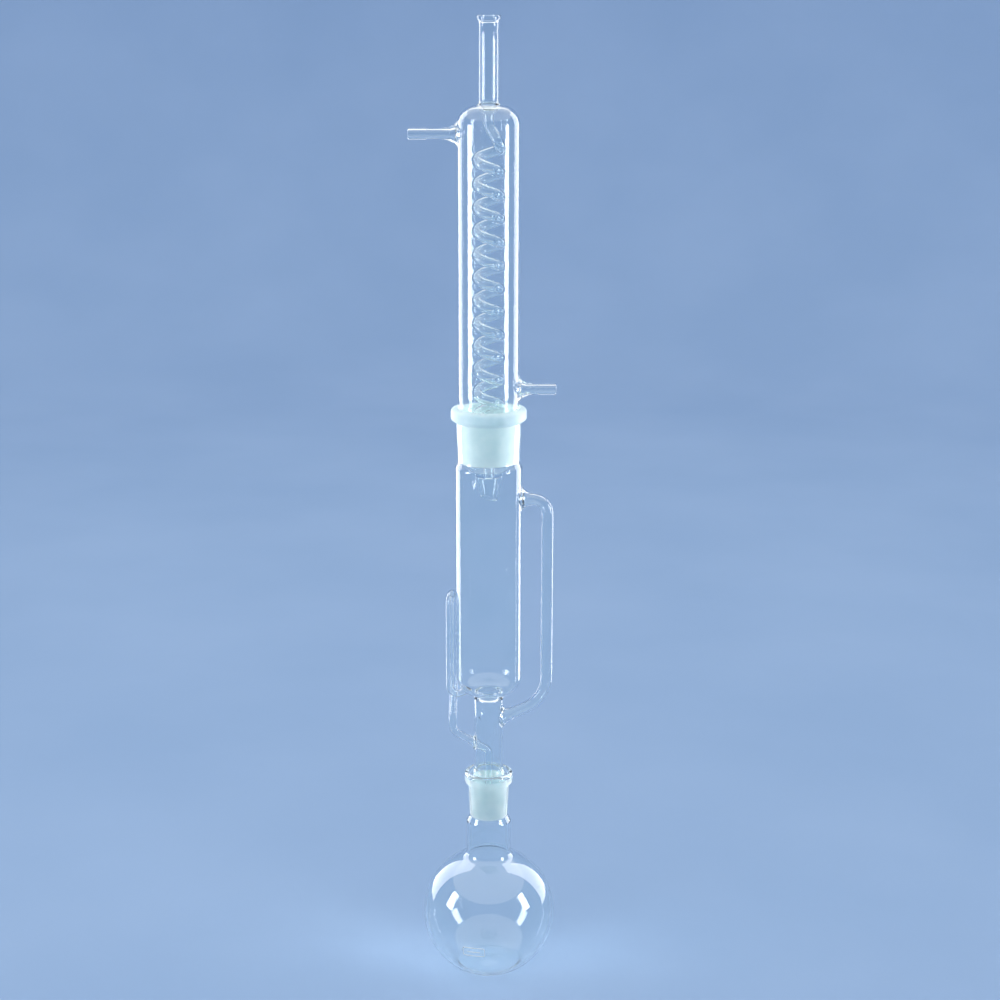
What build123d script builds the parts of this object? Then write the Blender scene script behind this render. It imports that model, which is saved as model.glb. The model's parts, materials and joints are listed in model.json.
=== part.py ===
from build123d import *
import os
from math import cos, floor, pi, radians, sin, sqrt, tan

# A 500 ml soxhlet extractor of blown glass, in millimetres. The origin is the centre of the
# flask's flat base and +Z is up, along the common axis of the flask, extractor and condenser.
# The vapour tube and the water inlet are on the +X side, the siphon and the water outlet on -X.

# ---- Shared -------------------------------------------------------------------------------
taper = 1 / 10  # growth of a ground joint's diameter per length
taper_clearance = 0.05  # radial gap between a cone and its socket at rest
shoulder_rounding = 3.0  # where a tube turns into a ground joint
rim_lip = 0.4  # how far a rim's mouth opens beyond its ground zone
rim_slope = 1.5  # height over which a rim's underside runs out to its edge
rim_foot_rounding = 1.0
mouth_rounding = 0.3

# ---- Flask --------------------------------------------------------------------------------
bulb_diameter = 102.0
bulb_wall = 1.8
base_diameter = 48.0  # where the ball is cut by the table plane, before its edge is rounded
base_thickness = 2.6
base_rounding = 5.0
neck_diameter = 34.0
neck_wall = 1.8
neck_blend = 7.0  # outside radius where the ball turns into the neck
neck_length = 23.2  # upright part, above the blend
shoulder_height = 5.0  # of the socket's shoulder, from the neck up to its ground zone

# ---- Lower joint, 29/32 -------------------------------------------------------------------
lower_joint_diameter = 29.2  # at the wide end
lower_joint_length = 32.0
lower_socket_wall = 1.7
lower_rim_width = 4.0  # from the ground zone's wide end out to the rim's edge
lower_rim_height = 10.0
lower_rim_above = 5.0  # rim's top above the wide end of the ground zone
lower_rim_rounding = 2.2
lower_cone_wall = 1.6
cone_end_rounding = 0.5

# ---- Extractor ----------------------------------------------------------------------------
drip_tube_diameter = 22.0
drip_tube_wall = 1.5
drip_tube_length = 56.0
cone_shoulder_height = 8.0  # from the ground zone up to the drip tube
cone_collar = 2.0  # straight stretch of the cone below the drip tube
cone_top_rounding = 1.5
seal_height = 4.0
seal_overhang = 0.5  # of the seal ring beyond the drip tube
seal_bore = 15.0
seal_rounding = 1.5
chamber_diameter = 50.0
chamber_wall = 1.8
chamber_rounding = 15.0
chamber_length = 177.0

# ---- Upper joint, 45/40 -------------------------------------------------------------------
upper_joint_diameter = 45.0  # at the wide end
upper_joint_length = 40.0
upper_shoulder_height = 5.0  # from the chamber up to the socket's ground zone
upper_socket_wall = 2.3
upper_rim_width = 5.5  # from the ground zone's wide end out to the rim's edge
upper_rim_height = 10.0
upper_rim_above = 1.5  # rim's top above the wide end of the ground zone
upper_rim_rounding = 3.2
upper_cone_wall = 2.0
upper_shoulder_start = 1.5  # straight stretch above the chamber
upper_shoulder_rounding = 1.2

# ---- Vapour tube --------------------------------------------------------------------------
vapour_diameter = 9.0
vapour_wall = 1.1
vapour_top_drop = 23.0  # from the chamber's top down to its upper end
vapour_foot_rise = 41.0  # from the drip tube's bottom up to its lower end
vapour_stand_off = 19.0  # from the chamber's wall out to the axis of its upright run
vapour_upper_fall = 5.0  # degrees below level
vapour_lower_fall = 23.0  # degrees below level
vapour_upper_bend = 11.0
vapour_lower_bend = 28.0
vapour_upper_flare = 4.0  # growth of its radius to the weld on the chamber
vapour_upper_flare_length = 9.0
vapour_lower_flare = 3.0
vapour_lower_flare_length = 8.0

# ---- Siphon -------------------------------------------------------------------------------
siphon_diameter = 6.0
siphon_wall = 1.0
siphon_gap = 1.5  # between its upright legs and the chamber's wall
siphon_outlet_rise = -3.5  # of its axis at the riser's foot above the chamber's bottom
siphon_outlet_climb = 9.5  # from there back up to its end inside the chamber
siphon_rise = 78.0  # of its axis at the top bend above the chamber's bottom
siphon_riser_turn = -4.0  # degrees from -X towards +Y
siphon_downcomer_turn = 26.0  # degrees from -X towards +Y
siphon_outlet_bend = 6.0
siphon_entry_rise = 20.0  # from the drip tube's bottom up to its lower end
siphon_entry_run = 16.6  # from the drip tube's wall out to its last upright stretch
siphon_entry_fall = 30.0  # degrees below level
siphon_lean_top = 10.0  # where it starts to lean in, above the chamber's bottom
siphon_lean_bottom = 18.0  # where it is upright again, below the chamber's bottom
siphon_lean_bend = 15.0
siphon_entry_bend = 9.0
siphon_top_bend_share = 0.99  # of half the gap between its legs, so that a short straight run is left
siphon_flare = 2.0  # growth of its radius to the weld on the drip tube
siphon_flare_length = 6.5
spout_bend = 5.0
spout_end_rise = 19.0  # of the spout's open end above the lower cone's end

# ---- Condenser ----------------------------------------------------------------------------
jacket_diameter = 45.0
jacket_wall = 1.8
jacket_length = 216.0
jacket_rounding = 15.0
jacket_rise = 2.5  # of the jacket's lower end above the socket's rim
cone_neck_rise = 0.5  # of the straight stretch above the socket's rim
funnel_drop = 11.0  # from the ground zone down to the funnel's end
funnel_end_diameter = 20.0
funnel_wall = 1.8
funnel_collar = 3.0  # straight stretch of the funnel above its end
funnel_rounding = 3.0
funnel_inner_rise = 1.0  # of the slope's inner face, so that its wall is as thick as the rest
cone_bottom_rounding = 2.0
lower_seal_thickness = 3.0
drip_tip_length = 16.5  # to the middle of its slanted end
drip_tip_diameter = 13.3
drip_tip_wall = 1.5
drip_tip_slant = 13.0  # degrees
drip_tip_collar = 4.0  # from the funnel's end down to where the tip starts to narrow
drip_tip_waist = 0.5  # how far its radius has shrunk there
drip_tip_rounding = 3.0
vent_diameter = 14.0
vent_wall = 1.4
vent_length = 62.0  # above the dome
vent_lip_width = 1.7
vent_lip_height = 5.0
vent_lip_slope = 2.0  # height over which the lip's underside runs out to its edge
vent_lip_rounding = 1.5
vent_edge_rounding = 1.0
vent_stem_length = 6.0  # below the dome, where it narrows to the coil's size
vent_stem_collar = 2.0  # straight stretch of the stem above the coil's end
vent_stem_rounding = 4.0
vent_root_rounding = 3.0
vent_root_drop = 1.0  # from the dome's inner face down to the vent's full width
upper_seal_width = 1.75
upper_seal_height = 4.0

# ---- Coil ---------------------------------------------------------------------------------
coil_tube_diameter = 8.0
coil_tube_wall = 1.0
coil_radius = 8.5  # of its axis
coil_pitch = 16.9
coil_top_drop = 30.0  # from the top of the dome down to the first turn
coil_foot_room = 25.0  # at least this much between the last turn and the funnel
coil_lead = 7.0  # straight run that leaves each end of the turns
coil_lead_bend = 6.0
coil_centre_bend = 10.0
coil_centre_drop = 15.5  # from an end of the turns to the bend on the common axis

# ---- Hose nipples -------------------------------------------------------------------------
nipple_diameter = 8.5
nipple_bore = 5.4
nipple_neck_diameter = 7.5
nipple_grip = 12.5  # length of the end that the hose grips
nipple_flare_diameter = 19.0  # where the nipple is sealed to the jacket
nipple_flare_length = 8.0
nipple_flare_rounding = 8.0
nipple_root_depth = 5.4  # how far the flare starts inside the jacket before it is cut to the wall
nipple_root_spread = 2.0  # growth of the flare's radius over that depth
grip_slope = 1.0  # length over which the neck grows to the grip
grip_rounding = 0.6
outlet_drop = 20.0  # from the top of the dome
outlet_length = 35.1  # from the jacket's wall
inlet_rise = 11.0  # from the jacket's lower end
inlet_length = 27.0  # from the jacket's wall

# ---- Places worked out from the sizes, from the base up ------------------------------------
bulb_radius = bulb_diameter / 2
bulb_centre = sqrt(bulb_radius**2 - (base_diameter / 2) ** 2)
blend_rise = sqrt((bulb_radius + neck_blend) ** 2 - (neck_diameter / 2 + neck_blend) ** 2)
neck_bottom = bulb_centre + blend_rise * bulb_radius / (bulb_radius + neck_blend)
neck_top = bulb_centre + blend_rise + neck_length
lower_joint_bottom = neck_top + shoulder_height
lower_joint_top = lower_joint_bottom + lower_joint_length
drip_tube_bottom = lower_joint_top + cone_shoulder_height
drip_tube_top = drip_tube_bottom + drip_tube_length
chamber_bottom = drip_tube_top + seal_height
chamber_top = chamber_bottom + chamber_length
upper_joint_bottom = chamber_top + upper_shoulder_height
upper_joint_top = upper_joint_bottom + upper_joint_length
upper_rim_top = upper_joint_top + upper_rim_above
funnel_end = upper_joint_bottom - funnel_drop
jacket_bottom = upper_rim_top + jacket_rise
jacket_top = jacket_bottom + jacket_length
vent_top = jacket_top + vent_length
vent_stem_end = jacket_top - jacket_wall - vent_stem_length
coil_start = jacket_top - coil_top_drop
coil_turns = floor((coil_start - upper_joint_bottom - coil_foot_room) / coil_pitch)
coil_end = coil_start - coil_pitch * coil_turns
siphon_leg_reach = chamber_diameter / 2 + siphon_gap + siphon_diameter / 2


def joint_radius(wide_diameter, below_wide_end):
    """Radius of a ground surface at a distance below its wide end."""
    return (wide_diameter - taper * below_wide_end) / 2


def turned(*corners):
    """Solid turned about Z from a closed outline, with (radius, height, rounding) corners."""
    points = [(radius, 0, height) for radius, height, rounding in corners]
    roundings = [rounding for radius, height, rounding in corners]
    outline = FilletPolyline(*points, radius=roundings, close=True)
    return revolve(make_face(outline), Axis.Z)


def round_bar(path, diameter):
    """Solid bar along a path."""
    start = Plane(path @ 0, z_dir=path % 0)
    return sweep(start * Circle(diameter / 2), path=path)


def to_side(shape, height, direction):
    """Turns a shape made about Z to lie along X, to one side (+1 or -1), at a height."""
    return Pos(0, 0, height) * (Rot(0, 90 * direction, 0) * shape)


# ---- Flask --------------------------------------------------------------------------------
def ball_with_neck(radius, floor, neck_radius, rounding, blend):
    """Ball cut flat at its floor, with its bottom edge rounded and a neck blended in."""
    ball = Pos(0, 0, bulb_centre) * Sphere(radius)
    ball = split(ball, Plane.XY.offset(floor), keep=Keep.TOP)
    ball = fillet(ball.edges().sort_by(Axis.Z)[0], rounding)
    reach = neck_top - bulb_centre
    neck = Pos(0, 0, bulb_centre + reach / 2) * Cylinder(neck_radius, reach)
    solid = ball + neck
    meeting_height = bulb_centre + sqrt(radius**2 - neck_radius**2)
    seam = solid.edges().sort_by(lambda edge: abs(edge.center().Z - meeting_height))[0]
    return fillet(seam, blend)


def flask_shell():
    outside = ball_with_neck(
        bulb_radius, 0, neck_diameter / 2, base_rounding, neck_blend
    )
    inside = ball_with_neck(
        bulb_radius - bulb_wall,
        base_thickness,
        neck_diameter / 2 - neck_wall,
        base_rounding,
        neck_blend + neck_wall,
    )
    return outside - inside


def flask_bulb():
    return split(flask_shell(), Plane.XY.offset(neck_bottom), keep=Keep.BOTTOM)


def flask_neck():
    return split(flask_shell(), Plane.XY.offset(neck_bottom), keep=Keep.TOP)


def flask_socket():
    narrow = joint_radius(lower_joint_diameter, lower_joint_length)
    wide = joint_radius(lower_joint_diameter, 0)
    rim_top = lower_joint_top + lower_rim_above
    rim_bottom = rim_top - lower_rim_height
    neck = neck_diameter / 2
    below_rim = joint_radius(lower_joint_diameter, lower_joint_top - rim_bottom)
    return turned(
        (neck - neck_wall, neck_top, 0),
        (neck, neck_top, 0),
        (narrow + lower_socket_wall, lower_joint_bottom, shoulder_rounding),
        (below_rim + lower_socket_wall, rim_bottom, rim_foot_rounding),
        (wide + lower_rim_width, rim_bottom + rim_slope, lower_rim_rounding),
        (wide + lower_rim_width, rim_top, lower_rim_rounding),
        (wide + rim_lip, rim_top, mouth_rounding),
        (wide, lower_joint_top, 0),
        (narrow, lower_joint_bottom, 0),
    )


# ---- Extractor ----------------------------------------------------------------------------
def lower_cone():
    narrow = joint_radius(lower_joint_diameter, lower_joint_length) - taper_clearance
    wide = joint_radius(lower_joint_diameter, 0) - taper_clearance
    tube = drip_tube_diameter / 2
    return turned(
        (narrow - lower_cone_wall, lower_joint_bottom, cone_end_rounding),
        (narrow, lower_joint_bottom, cone_end_rounding),
        (wide, lower_joint_top, cone_top_rounding),
        (tube, drip_tube_bottom - cone_collar, shoulder_rounding),
        (tube, drip_tube_bottom, 0),
        (tube - drip_tube_wall, drip_tube_bottom, 0),
        (tube - drip_tube_wall, drip_tube_bottom - cone_collar, shoulder_rounding),
        (wide - lower_cone_wall, lower_joint_top, cone_top_rounding),
    )


def drip_tube():
    radius = drip_tube_diameter / 2
    tube = turned(
        (radius - drip_tube_wall, drip_tube_bottom, 0),
        (radius, drip_tube_bottom, 0),
        (radius, drip_tube_top, 0),
        (radius - drip_tube_wall, drip_tube_top, 0),
    )
    return tube - round_bar(vapour_path(), vapour_diameter - 2 * vapour_wall) - siphon_bore()


def chamber_seal():
    radius = drip_tube_diameter / 2 + seal_overhang
    return turned(
        (seal_bore / 2, drip_tube_top, seal_rounding),
        (radius, drip_tube_top, seal_rounding),
        (radius, chamber_bottom, 0),
        (seal_bore / 2, chamber_bottom, 0),
    )


def chamber():
    radius = chamber_diameter / 2
    inner = radius - chamber_wall
    shell = turned(
        (0, chamber_bottom, 0),
        (radius, chamber_bottom, chamber_rounding),
        (radius, chamber_top, 0),
        (inner, chamber_top, 0),
        (inner, chamber_bottom + chamber_wall, chamber_rounding - chamber_wall),
        (0, chamber_bottom + chamber_wall, 0),
    )
    return shell - round_bar(vapour_path(), vapour_diameter - 2 * vapour_wall) - siphon_bore()


def chamber_outside():
    """The space that the chamber takes up, walls and inside."""
    radius = chamber_diameter / 2
    return turned(
        (0, chamber_bottom, 0),
        (radius, chamber_bottom, chamber_rounding),
        (radius, chamber_top, 0),
        (0, chamber_top, 0),
    )


def drip_tube_outside():
    """The space that the drip tube takes up, wall and inside."""
    length = drip_tube_top - drip_tube_bottom
    return Pos(0, 0, drip_tube_bottom + length / 2) * Cylinder(drip_tube_diameter / 2, length)


def chamber_socket():
    narrow = joint_radius(upper_joint_diameter, upper_joint_length)
    wide = joint_radius(upper_joint_diameter, 0)
    rim_bottom = upper_rim_top - upper_rim_height
    below_rim = joint_radius(upper_joint_diameter, upper_joint_top - rim_bottom)
    radius = chamber_diameter / 2
    return turned(
        (radius - chamber_wall, chamber_top, 0),
        (radius, chamber_top, 0),
        (radius, chamber_top + upper_shoulder_start, upper_shoulder_rounding),
        (narrow + upper_socket_wall, upper_joint_bottom, shoulder_rounding),
        (below_rim + upper_socket_wall, rim_bottom, rim_foot_rounding),
        (wide + upper_rim_width, rim_bottom + rim_slope, upper_rim_rounding),
        (wide + upper_rim_width, upper_rim_top, upper_rim_rounding),
        (wide + rim_lip, upper_rim_top, mouth_rounding),
        (wide, upper_joint_top, 0),
        (narrow, upper_joint_bottom, 0),
    )


# ---- Vapour tube --------------------------------------------------------------------------
def vapour_path():
    """From inside the chamber's wall, out, down and back to inside the drip tube's wall."""
    upper_drop = tan(radians(vapour_upper_fall))
    lower_drop = tan(radians(vapour_lower_fall))
    upper_height = chamber_top - vapour_top_drop
    lower_height = drip_tube_bottom + vapour_foot_rise
    chamber_inset = 2 * chamber_wall
    drip_inset = 2 * drip_tube_wall
    reach = chamber_diameter / 2 + vapour_stand_off
    run_to_drip_tube = reach - drip_tube_diameter / 2
    return FilletPolyline(
        (chamber_diameter / 2 - chamber_inset, 0, upper_height + chamber_inset * upper_drop),
        (reach, 0, upper_height - vapour_stand_off * upper_drop),
        (reach, 0, lower_height + run_to_drip_tube * lower_drop),
        (drip_tube_diameter / 2 - drip_inset, 0, lower_height - drip_inset * lower_drop),
        radius=[vapour_upper_bend, vapour_lower_bend],
    )


def flare(place, direction, tube_diameter, growth, length):
    """Cone that widens from a tube to the wall it is sealed to, ending at place."""
    wide = tube_diameter / 2 + growth
    cone = Cone(wide, tube_diameter / 2, length, align=(Align.CENTER, Align.CENTER, Align.MIN))
    return Plane(place, z_dir=direction) * cone


def vapour_tube():
    path = vapour_path()
    upper = flare(
        path @ 0, path % 0, vapour_diameter, vapour_upper_flare, vapour_upper_flare_length
    )
    lower = flare(
        path @ 1, -(path % 1), vapour_diameter, vapour_lower_flare, vapour_lower_flare_length
    )
    outside = round_bar(path, vapour_diameter) + upper + lower
    bore = round_bar(path, vapour_diameter - 2 * vapour_wall)
    return outside - bore - chamber_outside() - drip_tube_outside()


# ---- Siphon -------------------------------------------------------------------------------
def siphon_leg(turn, height):
    """Point on an upright leg of the siphon, turned from -X towards +Y."""
    angle = radians(turn)
    return (-siphon_leg_reach * cos(angle), siphon_leg_reach * sin(angle), height)


def siphon_path():
    """From inside the chamber's bottom, up, over and down to inside the drip tube's wall."""
    low = chamber_bottom + siphon_outlet_rise
    riser_low = siphon_leg(siphon_riser_turn, low)
    riser_top = siphon_leg(siphon_riser_turn, chamber_bottom + siphon_rise)
    fall_top = siphon_leg(siphon_downcomer_turn, chamber_bottom + siphon_rise)
    fall_low = siphon_leg(siphon_downcomer_turn, chamber_bottom + siphon_lean_top)
    half_turn = radians(siphon_downcomer_turn - siphon_riser_turn) / 2
    top_bend = siphon_top_bend_share * siphon_leg_reach * sin(half_turn)
    drop = tan(radians(siphon_entry_fall))
    entry_height = drip_tube_bottom + siphon_entry_rise
    entry_reach = drip_tube_diameter / 2 + siphon_entry_run
    inset = 2 * drip_tube_wall
    return FilletPolyline(
        (chamber_rounding - chamber_diameter / 2, 0, low + siphon_outlet_climb),
        riser_low,
        riser_top,
        fall_top,
        fall_low,
        (-entry_reach, 0, chamber_bottom - siphon_lean_bottom),
        (-entry_reach, 0, entry_height + siphon_entry_run * drop),
        (inset - drip_tube_diameter / 2, 0, entry_height - inset * drop),
        radius=[
            siphon_outlet_bend,
            top_bend,
            top_bend,
            siphon_lean_bend,
            siphon_lean_bend,
            siphon_entry_bend,
        ],
    )


def siphon_bore():
    return round_bar(siphon_path(), siphon_diameter - 2 * siphon_wall)


def siphon_tube():
    path = siphon_path()
    lower = flare(path @ 1, -(path % 1), siphon_diameter, siphon_flare, siphon_flare_length)
    outside = round_bar(path, siphon_diameter) + lower
    return outside - siphon_bore() - chamber_outside() - drip_tube_outside()


def siphon_spout():
    drop = tan(radians(siphon_entry_fall))
    drip_wall = drip_tube_diameter / 2
    entry_height = drip_tube_bottom + siphon_entry_rise
    spout_end = lower_joint_bottom + spout_end_rise
    path = FilletPolyline(
        (-drip_wall - drip_tube_wall, 0, entry_height + drip_tube_wall * drop),
        (0, 0, entry_height - drip_wall * drop),
        (0, 0, spout_end),
        radius=[spout_bend],
    )
    tube = round_bar(path, siphon_diameter) - round_bar(path, siphon_diameter - 2 * siphon_wall)
    length = drip_tube_top - spout_end
    inner = Cylinder(drip_tube_diameter / 2 - drip_tube_wall, length)
    return tube & (Pos(0, 0, spout_end + length / 2) * inner)


# ---- Condenser ----------------------------------------------------------------------------
def condenser_cone():
    narrow = joint_radius(upper_joint_diameter, upper_joint_length) - taper_clearance
    wide = joint_radius(upper_joint_diameter, 0) - taper_clearance
    end = funnel_end_diameter / 2
    return turned(
        (end - funnel_wall, funnel_end, 0),
        (end, funnel_end, 0),
        (end, funnel_end + funnel_collar, funnel_rounding),
        (narrow, upper_joint_bottom, cone_bottom_rounding),
        (wide, upper_joint_top, 0),
        (wide, upper_rim_top + cone_neck_rise, 0),
        (jacket_diameter / 2, jacket_bottom, 0),
        (jacket_diameter / 2 - jacket_wall, jacket_bottom, 0),
        (wide - upper_cone_wall, upper_rim_top + cone_neck_rise, 0),
        (wide - upper_cone_wall, upper_joint_top, 0),
        (narrow - upper_cone_wall, upper_joint_bottom + funnel_inner_rise, cone_bottom_rounding),
        (end - funnel_wall, funnel_end + funnel_collar + funnel_inner_rise, funnel_rounding),
    )


def lower_seal():
    return turned(
        (coil_tube_diameter / 2, funnel_end, 0),
        (funnel_end_diameter / 2 - funnel_wall, funnel_end, 0),
        (funnel_end_diameter / 2 - funnel_wall, funnel_end + lower_seal_thickness, 0),
        (coil_tube_diameter / 2, funnel_end + lower_seal_thickness, 0),
    )


def drip_tip():
    top = funnel_end_diameter / 2
    end = drip_tip_diameter / 2
    rise = drip_tip_diameter * tan(radians(drip_tip_slant))
    middle = funnel_end - drip_tip_length
    lowest = middle - rise / 2
    waist = top - drip_tip_waist
    waist_height = funnel_end - drip_tip_collar
    tip = turned(
        (top - drip_tip_wall, funnel_end, 0),
        (top, funnel_end, 0),
        (waist, waist_height, drip_tip_rounding),
        (end, lowest, 0),
        (end - drip_tip_wall, lowest, 0),
        (waist - drip_tip_wall, waist_height, drip_tip_rounding),
    )
    slant = radians(drip_tip_slant)
    cut = Plane((0, 0, middle), z_dir=(sin(slant), 0, cos(slant)))
    return split(tip, cut, keep=Keep.TOP)


def jacket():
    radius = jacket_diameter / 2
    inner = radius - jacket_wall
    hole = vent_diameter / 2
    shell = turned(
        (radius, jacket_bottom, 0),
        (radius, jacket_top, jacket_rounding),
        (hole, jacket_top, 0),
        (hole, jacket_top - jacket_wall, 0),
        (inner, jacket_top - jacket_wall, jacket_rounding - jacket_wall),
        (inner, jacket_bottom, 0),
    )
    hole = Cylinder(nipple_bore / 2, radius, align=(Align.CENTER, Align.CENTER, Align.MIN))
    outlet_hole = to_side(hole, jacket_top - outlet_drop, -1)
    return shell - outlet_hole - to_side(hole, jacket_bottom + inlet_rise, 1)


def coil_turn_path():
    """The turns: clockwise as they climb, so that their front strands fall to the right."""
    return Helix(
        pitch=coil_pitch,
        height=coil_pitch * coil_turns,
        radius=coil_radius,
        center=(0, 0, coil_end),
        lefthand=True,
    )


def coil_lead_path(height, side, end_height):
    """From an end of the turns (side -1 at the top, 1 at the foot) to the common axis."""
    steepness = coil_pitch / (2 * pi * coil_radius)
    return FilletPolyline(
        (coil_radius, 0, height),
        (coil_radius, side * coil_lead, height - side * coil_lead * steepness),
        (0, 0, height - side * coil_centre_drop),
        (0, 0, end_height),
        radius=[coil_lead_bend, coil_centre_bend],
    )


def coil():
    paths = [
        coil_turn_path(),
        coil_lead_path(coil_start, -1, vent_stem_end),
        coil_lead_path(coil_end, 1, funnel_end),
    ]
    bore = coil_tube_diameter - 2 * coil_tube_wall
    tubes = [round_bar(path, coil_tube_diameter) - round_bar(path, bore) for path in paths]
    return tubes[0] + tubes[1] + tubes[2]


def upper_seal():
    return turned(
        (vent_diameter / 2, jacket_top, 0),
        (vent_diameter / 2 + upper_seal_width, jacket_top, 0),
        (vent_diameter / 2, jacket_top + upper_seal_height, 0),
    )


def vent_tube():
    radius = vent_diameter / 2
    inner = radius - vent_wall
    lip = radius + vent_lip_width
    coil_outer = coil_tube_diameter / 2
    dome_inside = jacket_top - jacket_wall
    stem_top = vent_stem_end + vent_stem_collar
    lip_bottom = vent_top - vent_lip_height
    return turned(
        (coil_outer - coil_tube_wall, vent_stem_end, 0),
        (coil_outer, vent_stem_end, 0),
        (coil_outer, stem_top, vent_stem_rounding),
        (radius, dome_inside - vent_root_drop, vent_root_rounding),
        (radius, lip_bottom, vent_edge_rounding),
        (lip, lip_bottom + vent_lip_slope, vent_lip_rounding),
        (lip, vent_top, vent_lip_rounding),
        (inner, vent_top, vent_edge_rounding),
        (inner, dome_inside, vent_root_rounding),
        (coil_outer - coil_tube_wall, stem_top, vent_stem_rounding),
    )


# ---- Hose nipples -------------------------------------------------------------------------
def nipple(length, height, direction):
    """Nipple from the jacket's wall to its open end, with a hole all the way."""
    root = jacket_diameter / 2
    neck = nipple_neck_diameter / 2
    reach = root + length
    grip_start = reach - nipple_grip
    body = turned(
        (nipple_bore / 2, root - nipple_root_depth, 0),
        (nipple_flare_diameter / 2 + nipple_root_spread, root - nipple_root_depth, 0),
        (nipple_flare_diameter / 2, root, 0),
        (neck, root + nipple_flare_length, nipple_flare_rounding),
        (neck, grip_start - grip_slope, 0),
        (nipple_diameter / 2, grip_start, 0),
        (nipple_diameter / 2, reach, grip_rounding),
        (nipple_bore / 2, reach, grip_rounding),
    )
    inside = Pos(0, 0, height) * Cylinder(root, 4 * nipple_flare_diameter)
    return to_side(body, height, direction) - inside


def water_outlet():
    return nipple(outlet_length, jacket_top - outlet_drop, -1)


def water_inlet():
    return nipple(inlet_length, jacket_bottom + inlet_rise, 1)


# ---- Write each piece ---------------------------------------------------------------------
pieces = [
    flask_bulb,
    flask_neck,
    flask_socket,
    lower_cone,
    drip_tube,
    chamber_seal,
    chamber,
    chamber_socket,
    vapour_tube,
    siphon_tube,
    siphon_spout,
    condenser_cone,
    lower_seal,
    drip_tip,
    jacket,
    coil,
    upper_seal,
    vent_tube,
    water_outlet,
    water_inlet,
]

os.makedirs("parts", exist_ok=True)
for piece in pieces:
    shape = piece()
    export_step(shape, f"parts/{piece.__name__}.step")
    print(piece.__name__, round(shape.volume), "mm3")
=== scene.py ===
import json
from math import atan2, cos, degrees, pi, radians, sin, sqrt, tan

import bmesh
import bpy
import numpy as np
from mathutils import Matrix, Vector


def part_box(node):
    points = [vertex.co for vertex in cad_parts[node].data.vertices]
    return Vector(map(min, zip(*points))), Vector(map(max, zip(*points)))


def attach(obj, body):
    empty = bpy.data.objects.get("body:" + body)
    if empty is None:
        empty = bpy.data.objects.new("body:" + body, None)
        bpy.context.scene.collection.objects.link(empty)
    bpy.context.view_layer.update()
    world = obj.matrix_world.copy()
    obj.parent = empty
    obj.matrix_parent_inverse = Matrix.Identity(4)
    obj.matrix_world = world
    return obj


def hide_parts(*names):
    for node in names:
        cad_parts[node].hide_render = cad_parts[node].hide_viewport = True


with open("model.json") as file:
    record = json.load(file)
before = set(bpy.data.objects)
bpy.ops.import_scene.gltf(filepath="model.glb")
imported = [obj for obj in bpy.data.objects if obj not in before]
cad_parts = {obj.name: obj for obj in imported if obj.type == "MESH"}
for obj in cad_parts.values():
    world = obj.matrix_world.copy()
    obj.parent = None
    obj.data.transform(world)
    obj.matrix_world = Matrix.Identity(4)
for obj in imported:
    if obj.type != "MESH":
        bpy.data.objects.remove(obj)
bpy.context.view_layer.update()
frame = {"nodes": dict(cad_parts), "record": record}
print("frame loaded:", len(frame["nodes"]), "nodes")

# All sizes below are millimetres, and every mesh is scaled to metres as it is made.
mm = 0.001

# Finishes that a piece's faces can have, as numbers of its material slots.
clear, ground, seam = 0, 1, 2

bodyOf = {node: body for body, nodes in frame["record"]["behaviour"]["bodies"].items() for node in nodes}


# ---- Places read from the CAD pieces ----


def heights(node):
    # Lowest and highest height of a CAD piece.
    low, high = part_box(node)
    return low[2] / mm, high[2] / mm


def halfWidth(node):
    # Half the widest width of a round CAD piece.
    low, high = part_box(node)
    return (high[1] - low[1]) / 2 / mm


# ---- Shapes as arrays ----


def unit(vectors):
    # Each vector divided by its own length.
    return vectors / np.linalg.norm(vectors, axis=-1, keepdims=True)


def arc(centre, radius, start, end, count):
    # Points at centre + radius * (cos, sin) of angles spread evenly from start to end, in degrees.
    angles = np.radians(np.linspace(start, end, count))
    return np.stack([centre[0] + radius * np.cos(angles), centre[1] + radius * np.sin(angles)], axis=1)


leastTurn = 0.01  # half a corner's turn, in radians, below which it is left sharp


def roundCorner(before, corner, after, rounding, count):
    # The arc tangent to both runs: its centre lies on the corner's bisector, rounding / cos(half turn) away.
    into, out = unit(corner - before), unit(after - corner)
    halfTurn = np.arccos(np.clip(np.dot(into, out), -1, 1)) / 2
    if rounding <= 0 or halfTurn < leastTurn:
        return corner[None, :]
    centre = corner + unit(out - into) * rounding / np.cos(halfTurn)
    across, along = unit(corner - centre), unit(into + out)
    turn = np.linspace(-halfTurn, halfTurn, count)[:, None]
    return centre + rounding * (np.cos(turn) * across + np.sin(turn) * along)


def outline(corners, longest=3.0, count=7):
    # Closed outline through corners (radius, height, rounding, finish of the run that follows), with
    # rounded corners and with runs cut so that none is longer than the longest. It stays open where it
    # starts and ends on the axis.
    places = np.array([corner[:2] for corner in corners], float)
    points, finishes = [], []
    total = len(corners)
    for i in range(total):
        bend = roundCorner(places[i - 1], places[i], places[(i + 1) % total], corners[i][2], count)
        points.append(bend)
        finishes += [corners[i - 1][3]] * (len(bend) - 1) + [corners[i][3]]
    return cutRuns(np.concatenate(points), np.array(finishes), longest)


def cutRuns(points, finishes, longest):
    # Puts even points along each run of an outline that is longer than the longest, but none on the axis.
    following = np.roll(points, -1, axis=0)
    if points[0, 0] == points[-1, 0] == 0:
        following[-1] = points[-1]
    pieces = np.maximum(1, np.ceil(np.linalg.norm(following - points, axis=1) / longest)).astype(int)
    owner = np.repeat(np.arange(len(points)), pieces)
    share = (np.arange(len(owner)) - np.repeat(np.cumsum(pieces) - pieces, pieces)) / pieces[owner]
    return points[owner] + share[:, None] * (following - points)[owner], finishes[owner]


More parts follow.
